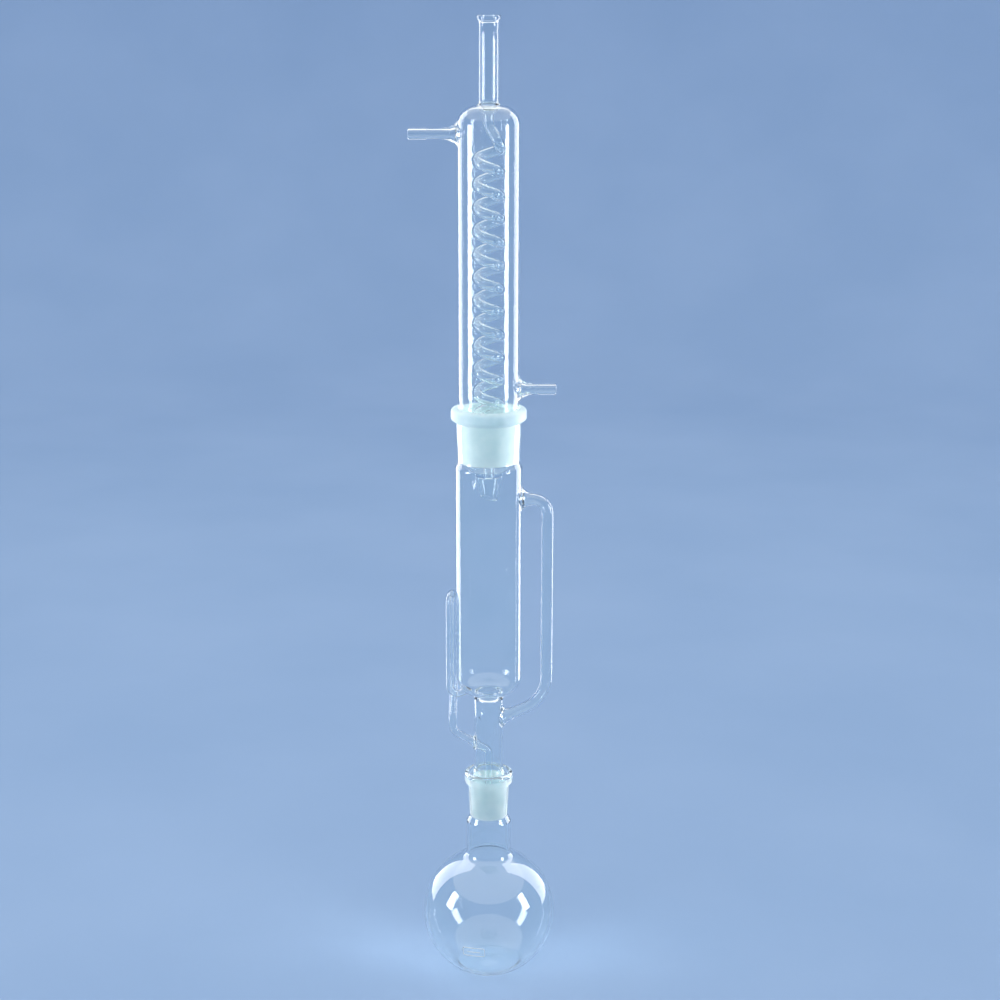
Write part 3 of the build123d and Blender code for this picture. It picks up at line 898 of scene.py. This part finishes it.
vapourLine, siphonLine = vapourPath(vapour), siphonPath(siphon)
sideTube("vapour_tube", vapourLine, vapour, chamberWall, dripTubeWall)
sideTube("siphon_tube", siphonLine, siphon, chamberWall, dripTubeWall, 32)
sideTube("siphon_spout", spoutPath(spout), spout, dripTubeInside, None, 32)
holes = [  # piece, the side tube's end and its next point, radii of the hole and of the weld
    (chamber, vapourLine[0], vapourLine[1], 5.2, 8.8),
    (chamber, siphonLine[0], siphonLine[1], 2.0, 3.4),
    (dripTube, vapourLine[-1], vapourLine[-2], 4.6, 7.5),
    (dripTube, siphonLine[-1], siphonLine[-2], 2.4, 4.8),
]
for piece, end, beyond, radius, weldRadius in holes:
    inward = unit(end - beyond)
    drill(piece, end - drillReach * inward, end + drillReach * inward, radius, weldRadius)
print("side tubes made")


# ---- Condenser ----

condenser = {
    "clearance": 0.05,
    "coneWall": 2.0,
    "jacketWall": 1.8,
    "jacketRounding": 13.7,
    "waist": 22.1,  # radius where the cone is melted to the jacket
    "funnelRadius": 10.0,
    "funnelDrop": 11.0,  # from the ground zone down to the funnel's end
    "funnelWall": 1.8,
    "sealThickness": 3.0,
    "tipRadius": 6.65,
    "tipWall": 1.5,
    "tipDrop": 16.5,
    "tipSlant": 13.0,  # degrees
    "tipStraight": 3.0,  # of the tip's top end that isn't slanted
    "ventRadius": 7.0,
    "ventWall": 1.4,
    "ventSeal": 1.75,
    "lip": 1.7,
    "steps": 176,
    "smallSteps": 96,
}
jacketRadius = halfWidth("jacket")
jacketFloor, jacketTop = heights("jacket")
coilRadius = 4.0
coilBore = 3.0


def condenserCone(sizes):
    # Funnel, ground cone and the narrow waist that the jacket grows from.
    low, high = heights("condenser_cone")
    bottom = low + sizes["funnelDrop"]
    top = bottom + upperSocket["length"]
    wide = upperSocket["wide"] - sizes["clearance"]
    narrow = wide - taperPerLength * upperSocket["length"]
    end, wall = sizes["funnelRadius"], sizes["coneWall"]
    inner = end - sizes["funnelWall"]
    waist = sizes["waist"]
    corners = [
        (inner, low, 0, seam),
        (end, low, 0, clear),
        (end, low + 3, 3, clear),
        (narrow, bottom, 1.5, ground),
        (wide, top, 0.4, clear),
        (waist, top + 2.2, 2, clear),
        (waist, high, 0, seam),
        (jacketRadius - sizes["jacketWall"], high, 0, clear),
        (wide - wall, top + 1, 1, clear),
        (narrow - wall, bottom + 1, 2, clear),
        (inner, low + 4, 2.5, clear),
        (inner, low + sizes["sealThickness"], 0, seam),
    ]
    return outline(corners, 2.0)


def lowerSeal(sizes):
    # The web between the funnel's end and the coil that passes through it.
    low, high = heights("lower_seal")
    outside = sizes["funnelRadius"] - sizes["funnelWall"]
    corners = [
        (coilRadius, low, 0, clear),
        (outside, low, 0, seam),
        (outside, high, 0, clear),
        (coilRadius, high, 0, seam),
    ]
    return outline(corners, 1.2)


def dripTip(sizes):
    # A narrowing tube whose lower end is sheared more and more until it has its full slant.
    high = heights("drip_tip")[1]
    top, end, wall = sizes["funnelRadius"], sizes["tipRadius"], sizes["tipWall"]
    low = high - sizes["tipDrop"]
    corners = [
        (end - wall, low, 0.6, clear),
        (end, low, 0.6, clear),
        (top - 0.5, high - 4, 4, clear),
        (top, high, 0, seam),
        (top - wall, high, 0, clear),
        (top - 0.5 - wall, high - 4, 4, clear),
    ]
    points, finishes = outline(corners, 1.5)
    grid = turned(points, sizes["steps"])
    straight = sizes["tipStraight"]
    share = np.clip((high - straight - points[:, 1]) / (sizes["tipDrop"] - straight), 0, 1)[:, None]
    grid[..., 2] -= grid[..., 0] * tan(radians(sizes["tipSlant"])) * share
    return addPiece(gridMesh("drip_tip_glass", grid, finishes), "drip_tip")


def jacketOutline(sizes):
    # An upright wall from the waist to a rounded dome, with a hole in its top for the vent tube.
    wall, rounding, vent = sizes["jacketWall"], sizes["jacketRounding"], sizes["ventRadius"]
    inner = jacketRadius - wall
    corners = [
        (inner, jacketFloor, 0, seam),
        (sizes["waist"], jacketFloor, 0, clear),
        (jacketRadius, jacketFloor + 7, 30, clear),
        (jacketRadius, jacketTop, rounding, clear),
        (vent + sizes["ventSeal"], jacketTop, 0, seam),
        (vent, jacketTop, 0, seam),
        (vent, jacketTop - wall, 0, clear),
        (inner, jacketTop - wall, rounding - wall, clear),
    ]
    return outline(corners, 1.4, 16)


def upperSeal(sizes):
    # The fillet of melted glass between the dome and the vent tube.
    low, high = heights("upper_seal")
    vent = sizes["ventRadius"]
    corners = [
        (vent, low, 0, seam),
        (vent + sizes["ventSeal"], low, 0, clear),
        (vent + 0.45, low + 1.3, 2, clear),
        (vent, high, 0, seam),
    ]
    return outline(corners, 1.0)


def ventTube(sizes):
    # From the coil's end out to the vent's full width inside the dome, then up to a flared lip.
    low, high = heights("vent_tube")
    radius, lip = sizes["ventRadius"], sizes["ventRadius"] + sizes["lip"]
    inner = radius - sizes["ventWall"]
    sealTop = heights("upper_seal")[1]
    corners = [
        (coilBore, low, 0, seam),
        (coilRadius, low, 0, clear),
        (coilRadius, low + 2, 3, clear),
        (radius, jacketTop - 2.8, 2, clear),
        (radius, jacketTop - sizes["jacketWall"], 0, seam),
        (radius, sealTop, 0, clear),
        (radius, high - 5, 3, clear),
        (lip - 0.2, high - 2.6, 1.2, clear),
        (lip, high, 1.4, clear),
        (inner, high, 1.2, clear),
        (inner, jacketTop - 2.4, 3, clear),
        (coilBore, low + 2, 3, clear),
    ]
    return outline(corners, 2.5)


turnedPiece("condenser_cone", condenserCone(condenser), condenser["steps"])
turnedPiece("lower_seal", lowerSeal(condenser), condenser["smallSteps"])
dripTip(condenser)
jacket = turnedPiece("jacket", jacketOutline(condenser), condenser["steps"])
turnedPiece("upper_seal", upperSeal(condenser), condenser["smallSteps"])
turnedPiece("vent_tube", ventTube(condenser), condenser["smallSteps"])
print("condenser's turned pieces made")


# ---- Coil ----

coil = {
    "turnRadius": 8.5,
    "pitch": 16.9,
    "topDrop": 30.0,  # from the dome's top down to the first turn
    "turns": 12,
    "lead": 7.0,
    "leadBend": 6.0,
    "centreDrop": 15.5,
    "centreBend": 10.0,
    "wander": 0.22,  # how far the wound turns stray from a true spiral
    "seed": 7,
    "perTurn": 60,
    "ringGap": 1.35,
    "steps": 26,
}


def coilPath(sizes):
    # Up the axis, out to a clockwise spiral, up its turns and back to the axis. Both ends are alike, the
    # upper one turned half round.
    radius, pitch, lead = sizes["turnRadius"], sizes["pitch"], sizes["lead"]
    steepness = pitch / (2 * pi * radius)
    high = jacketTop - sizes["topDrop"]
    low = high - pitch * sizes["turns"]
    bends = (sizes["centreBend"], sizes["leadBend"])
    foot = [
        (0, 0, heights("coil")[0]),
        (0, 0, low - sizes["centreDrop"]),
        (radius, lead, low - lead * steepness),
        (radius, 0, low),
    ]
    head = [
        (radius, 0, high),
        (radius, -lead, high + lead * steepness),
        (0, 0, high + sizes["centreDrop"]),
        (0, 0, heights("coil")[1]),
    ]
    turn = np.linspace(0, sizes["turns"], sizes["turns"] * sizes["perTurn"] + 1)
    fade = np.clip(np.minimum(turn, sizes["turns"] - turn), 0, 1)
    stray = np.random.default_rng(sizes["seed"]).uniform(-1, 1, (2, sizes["turns"] + 1)) * sizes["wander"]
    knots = np.arange(sizes["turns"] + 1)
    smooth = [np.interp(turn, knots, row) * fade for row in stray]
    spiral = np.stack(
        [
            (radius + smooth[0]) * np.cos(2 * pi * turn),
            -(radius + smooth[0]) * np.sin(2 * pi * turn),
            low + pitch * turn + 2 * smooth[1],
        ],
        axis=1,
    )
    ends = roundedPath(foot, bends, 0.8), roundedPath(head, bends[::-1], 0.8)
    return evened(np.concatenate([ends[0][:-1], spiral, ends[1][1:]]), sizes["ringGap"])


def coilOutline(length, sealThickness):
    # A tube that passes through the lower seal and ends in the vent's stem.
    corners = [
        (coilBore, 0, 0, clear),
        (coilRadius, 0, 0, seam),
        (coilRadius, sealThickness, 0, clear),
        (coilRadius, length, 0, seam),
        (coilBore, length, 0, clear),
    ]
    return outline(corners, coil["ringGap"])


coilLine = coilPath(coil)
points, finishes = coilOutline(pathLength(coilLine), condenser["sealThickness"])
addPiece(gridMesh("coil_glass", carried(points, coilLine, coil["steps"])[0], finishes), "coil")
print("coil made")


# ---- Hose nipples ----

nipple = {
    "bore": 2.7,
    "root": 9.5,  # radius where it is melted to the jacket
    "neck": 3.7,
    "grip": 4.25,
    "gripLength": 12.5,
    "weldReach": 9.0,  # how far from the jacket it is drawn out to meet the wall
    "drillShares": (1.2, 0.8),  # of the jacket's radius, where its hole starts and ends
    "steps": 48,
}


def jacketWall(height):
    # The jacket's outside radius beside a nipple, the same at every height.
    return jacketRadius + weldGap + 0 * height


def addNipple(node, sizes, side):
    # A trumpet from the jacket's wall to a straight neck, then the grip for the hose.
    low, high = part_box(node)
    height = (low[2] + high[2]) / 2 / mm
    reach = (high[0] if side > 0 else -low[0]) / mm
    length = reach - jacketRadius
    grip = length - sizes["gripLength"]
    bore, neck, wide = sizes["bore"], sizes["neck"], sizes["grip"]
    corners = [
        (bore + 1.2, 0, 0, seam),
        (sizes["root"], 0, 0, clear),
        (sizes["root"] - 2.6, 1.6, 3, clear),
        (neck + 1.1, 6.2, 12, clear),
        (neck, 12, 20, clear),
        (neck, grip - 1.2, 1, clear),
        (wide, grip, 0.8, clear),
        (wide - 0.15, grip + 2, 3, clear),
        (wide - 0.1, length - 2, 3, clear),
        (wide, length, 0.8, clear),
        (bore, length, 0.6, clear),
        (bore, 4, 3, clear),
    ]
    points, finishes = outline(corners, 1.5)
    path = np.array([[side * (jacketRadius + along), 0, height] for along in (0, length / 2, length)])
    grid, centre, tangent = carried(points, path, sizes["steps"])
    share = np.clip(1 - points[:, 1] / sizes["weldReach"], 0, 1) ** 2
    grid = ontoWall(grid, centre, tangent, share, jacketWall)
    addPiece(gridMesh(node + "_glass", grid, finishes), node)
    first, last = [path[0] * [part, 1, 1] for part in sizes["drillShares"]]
    drill(jacket, first, last, bore + 0.9, sizes["root"] - 0.2)


addNipple("water_outlet", nipple, -1)
addNipple("water_inlet", nipple, 1)
print("nipples made")


# ---- Surroundings ----

# Sizes are metres here. A glass box shows in the glass and through it, an edge box is only mirrored in it,
# and the room box only lights the floor.
surroundings = {
    "floorRadius": 2.2,  # from the axis out to where the floor turns up into a wall
    "floorBend": 1.2,
    "wallTop": 2.4,
    "floorSteps": 96,
    "floorDrop": 0.0002,  # below the glass, which stands on it
    "floorColours": ((0.305, 0.425, 0.61), (0.33, 0.45, 0.635)),
    "floorRoughness": (0.75, 0.9),
    "cloudScale": 3.0,
    "world": (0.95, 0.98, 1.0),
    "worldStrength": 1.3,
    "boxes": [  # name, degrees round from the camera, distance, width, height, middle height, power, kind
        ("leftBox", -76, 1.0, 0.26, 0.5, 0.45, 7.0, "glass"),
        ("rightBox", 72, 1.0, 0.24, 0.5, 0.45, 6.5, "glass"),
        ("leftEdge", -130, 0.5, 0.3, 1.0, 0.52, 5.0, "edge"),
        ("rightEdge", 124, 0.5, 0.3, 1.0, 0.52, 5.5, "edge"),
        ("keyLight", -40, 2.0, 1.2, 1.2, 2.2, 10.0, "room"),
    ],
}


def addFloor(look):
    # A wide pale floor, turned about the axis: flat, then bent up into a wall all round, with a faint
    # cloudiness.
    flat, bend = look["floorRadius"], look["floorBend"]
    turn = arc((flat, bend), bend, -90, 0, 25)
    profile = np.concatenate([[[0, 0]], turn, [[flat + bend, look["wallTop"]]]])
    angle = np.linspace(0, 2 * pi, look["floorSteps"] + 1)[None, :]
    radius, height = profile[:, :1], profile[:, 1:]
    grid = np.stack([radius * np.cos(angle), radius * np.sin(angle), height + 0 * angle], axis=2)
    i, j = np.meshgrid(np.arange(len(profile) - 1), np.arange(look["floorSteps"]), indexing="ij")
    corner = i * angle.size + j
    quads = np.stack([corner, corner + angle.size, corner + angle.size + 1, corner + 1], axis=-1)
    mesh = bpy.data.meshes.new("floor")
    mesh.from_pydata(grid.reshape(-1, 3).tolist(), [], quads.reshape(-1, 4).tolist())
    mesh.polygons.foreach_set("use_smooth", np.ones(len(mesh.polygons), bool))
    closePoles(mesh)
    material, nodes, links, shader, place = newMaterial("floorPaint")
    cloud = noise(nodes, links, place, look["cloudScale"], 4.0)
    links.new(twoColours(nodes, links, cloud, *look["floorColours"]), shader.inputs["Base Color"])
    links.new(spread(nodes, links, cloud, *look["floorRoughness"]), shader.inputs["Roughness"])
    shader.inputs["Specular IOR Level"].default_value = 0.0
    mesh.materials.append(material)
    floor = bpy.data.objects.new("floor", mesh)
    floor.location = (0, 0, -look["floorDrop"])
    bpy.context.scene.collection.objects.link(floor)


def addWorld(look):
    # Even pale light from all round.
    world = bpy.data.worlds.new("studio")
    world.use_nodes = True
    background = world.node_tree.nodes["Background"]
    background.inputs["Color"].default_value = (*look["world"], 1)
    background.inputs["Strength"].default_value = look["worldStrength"]
    bpy.context.scene.world = world


def addSoftBox(name, around, reach, width, height, middle, power, kind):
    # A soft light that faces the axis from one side. Those for the glass make its streaks and outlines.
    light = bpy.data.lights.new(name, "AREA")
    light.shape = "RECTANGLE"
    light.size, light.size_y, light.energy = width, height, power
    lamp = bpy.data.objects.new(name, light)
    angle = radians(around)
    lamp.location = (reach * sin(angle), -reach * cos(angle), middle)
    lamp.rotation_euler = (atan2(reach, middle) if kind == "room" else radians(90), 0, angle)
    lamp.visible_camera = False
    lamp.visible_diffuse = kind == "room"
    lamp.visible_glossy = kind != "room"
    lamp.visible_transmission = kind == "glass"
    bpy.context.scene.collection.objects.link(lamp)


view = {
    "place": (0, -1.4, 0.74),
    "dip": 14.47,  # degrees below level
    "lens": 69.73,
    "sensor": 36,
    "shift": 0.0113,
    "bounces": 36,
}


def addCamera(sizes):
    # Looks straight at the axis from the front and above, far enough to see the whole object.
    data = bpy.data.cameras.new("camera")
    data.lens, data.sensor_width, data.shift_x = sizes["lens"], sizes["sensor"], sizes["shift"]
    camera = bpy.data.objects.new("camera", data)
    camera.location = sizes["place"]
    camera.rotation_euler = (radians(90 - sizes["dip"]), 0, 0)
    bpy.context.scene.collection.objects.link(camera)
    bpy.context.scene.camera = camera
    bpy.context.scene.view_settings.view_transform = "Standard"
    cycles = bpy.context.scene.cycles
    for name in ("max_bounces", "transmission_bounces", "transparent_max_bounces", "glossy_bounces"):
        setattr(cycles, name, sizes["bounces"])
    cycles.caustics_reflective = False


addFloor(surroundings)
addWorld(surroundings)
for box in surroundings["boxes"]:
    addSoftBox(*box)
addCamera(view)
print("surroundings made")
